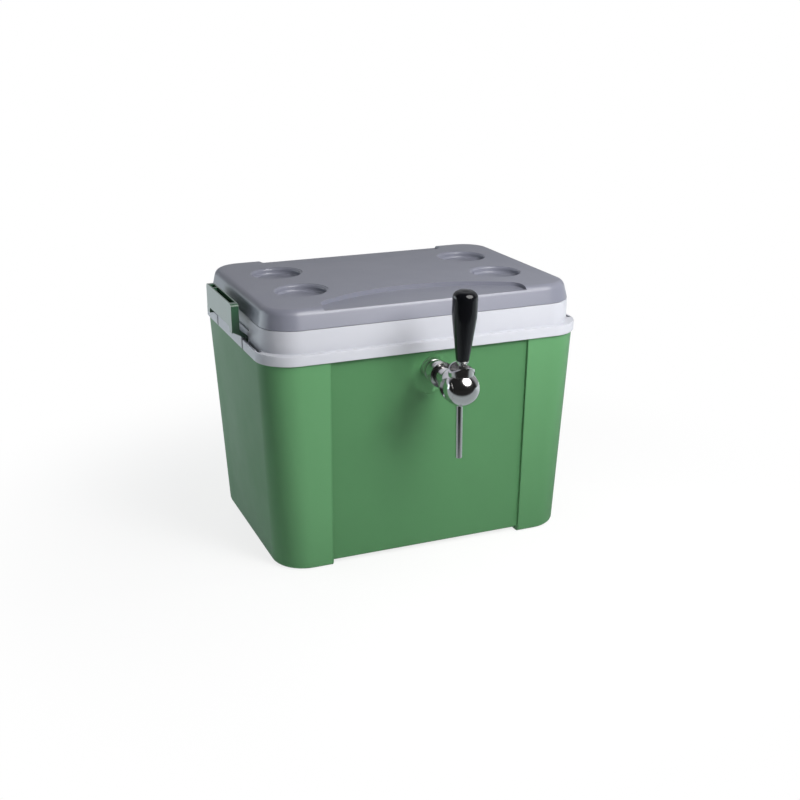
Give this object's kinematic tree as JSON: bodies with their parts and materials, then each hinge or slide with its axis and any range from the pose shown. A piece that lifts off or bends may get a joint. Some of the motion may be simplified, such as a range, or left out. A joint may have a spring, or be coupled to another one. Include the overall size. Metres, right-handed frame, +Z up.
{
  "type": "jockey box beer cooler",
  "caption": "Insulated cooler box with a chrome beer tap on its front, a stainless cooling coil in its ice space, a lift-off lid with cup holders and folding side handles.",
  "frame": {"origin": "middle of the base on which the box stands", "axes": "+Z up, the tap points to -Y, +X to the right seen from the tap's side"},
  "size_m": [0.5229, 0.4843, 0.4034],
  "materials": {
    "tub_plastic": "blow-moulded green plastic, satin",
    "handle_plastic": "moulded green plastic, satin",
    "foam": "poured polyurethane foam",
    "liner_plastic": "pale grey moulded plastic, satin",
    "lid_plastic": "grey moulded plastic, satin",
    "lid_pan_plastic": "pale moulded plastic",
    "clear_plastic": "clear plastic sheet",
    "sleeve_plastic": "plastic tube",
    "tap_chrome": "polished",
    "stainless": "turned stainless steel",
    "coil_steel": "bright drawn stainless tube",
    "brass": "machined brass",
    "black_rubber": "black rubber",
    "grip_plastic": "gloss black plastic"
  },
  "bodies": {
    "cooler": {"outer_shell": "tub_plastic", "foam_insulation": "foam", "inner_liner": "liner_plastic", "handle_pins": "stainless", "clear_washer": "clear_plastic", "shank_sleeve": "sleeve_plastic", "tap_shank": "stainless", "wall_flange": "tap_chrome", "flange_ring": "black_rubber", "coupling_nut": "tap_chrome", "tap_body": "tap_chrome", "barrel_ring": "black_rubber", "side_caps": "tap_chrome", "bonnet": "tap_chrome", "spout_tube": "tap_chrome", "lever_pin": "stainless", "inner_washer": "black_rubber", "shank_nut": "brass", "shank_tail_nut": "brass", "cooling_coil": "coil_steel", "coil_straps": "stainless", "inlet_fitting": "stainless", "inlet_washers": "black_rubber", "inlet_sleeve": "sleeve_plastic", "inlet_nut": "brass", "inlet_tail_nut": "brass", "tube_seals": "black_rubber"},
    "lid": {"lid_shell": "lid_plastic", "lid_foam": "foam", "lid_liner": "lid_pan_plastic"},
    "left_handle": {"left_handle": "handle_plastic"},
    "right_handle": {"right_handle": "handle_plastic"},
    "lever": {"lever_stem": "stainless", "lever_ferrule": "tap_chrome", "lever_grip": "grip_plastic"},
    "valve": {"valve_plunger": "stainless", "valve_washer": "black_rubber"}
  },
  "joints": [
    {"name": "lid_lift", "type": "slide", "parent": "cooler", "child": "lid", "axis": [0, 0, 1], "range_m": [0, 0.15]},
    {"name": "left_handle_hinge", "type": "hinge", "parent": "cooler", "child": "left_handle", "pos_m": [-0.2278, 0, 0.3052], "axis": [0, -1, 0], "range_deg": [0, 116]},
    {"name": "right_handle_hinge", "type": "hinge", "parent": "cooler", "child": "right_handle", "pos_m": [0.2278, 0, 0.3052], "axis": [0, 1, 0], "range_deg": [-116, 0]},
    {"name": "lever_pivot", "type": "hinge", "parent": "cooler", "child": "lever", "pos_m": [0, -0.26296, 0.2805], "axis": [1, 0, 0], "range_deg": [0, 14]},
    {"name": "valve_slide", "type": "slide", "parent": "cooler", "child": "valve", "axis": [0, 1, 0], "range_m": [0, 0.00192]}
  ],
  "couplings": [
    {"joint": "valve_slide", "follows": "lever_pivot", "m_per_rad": 0.007834}
  ]
}
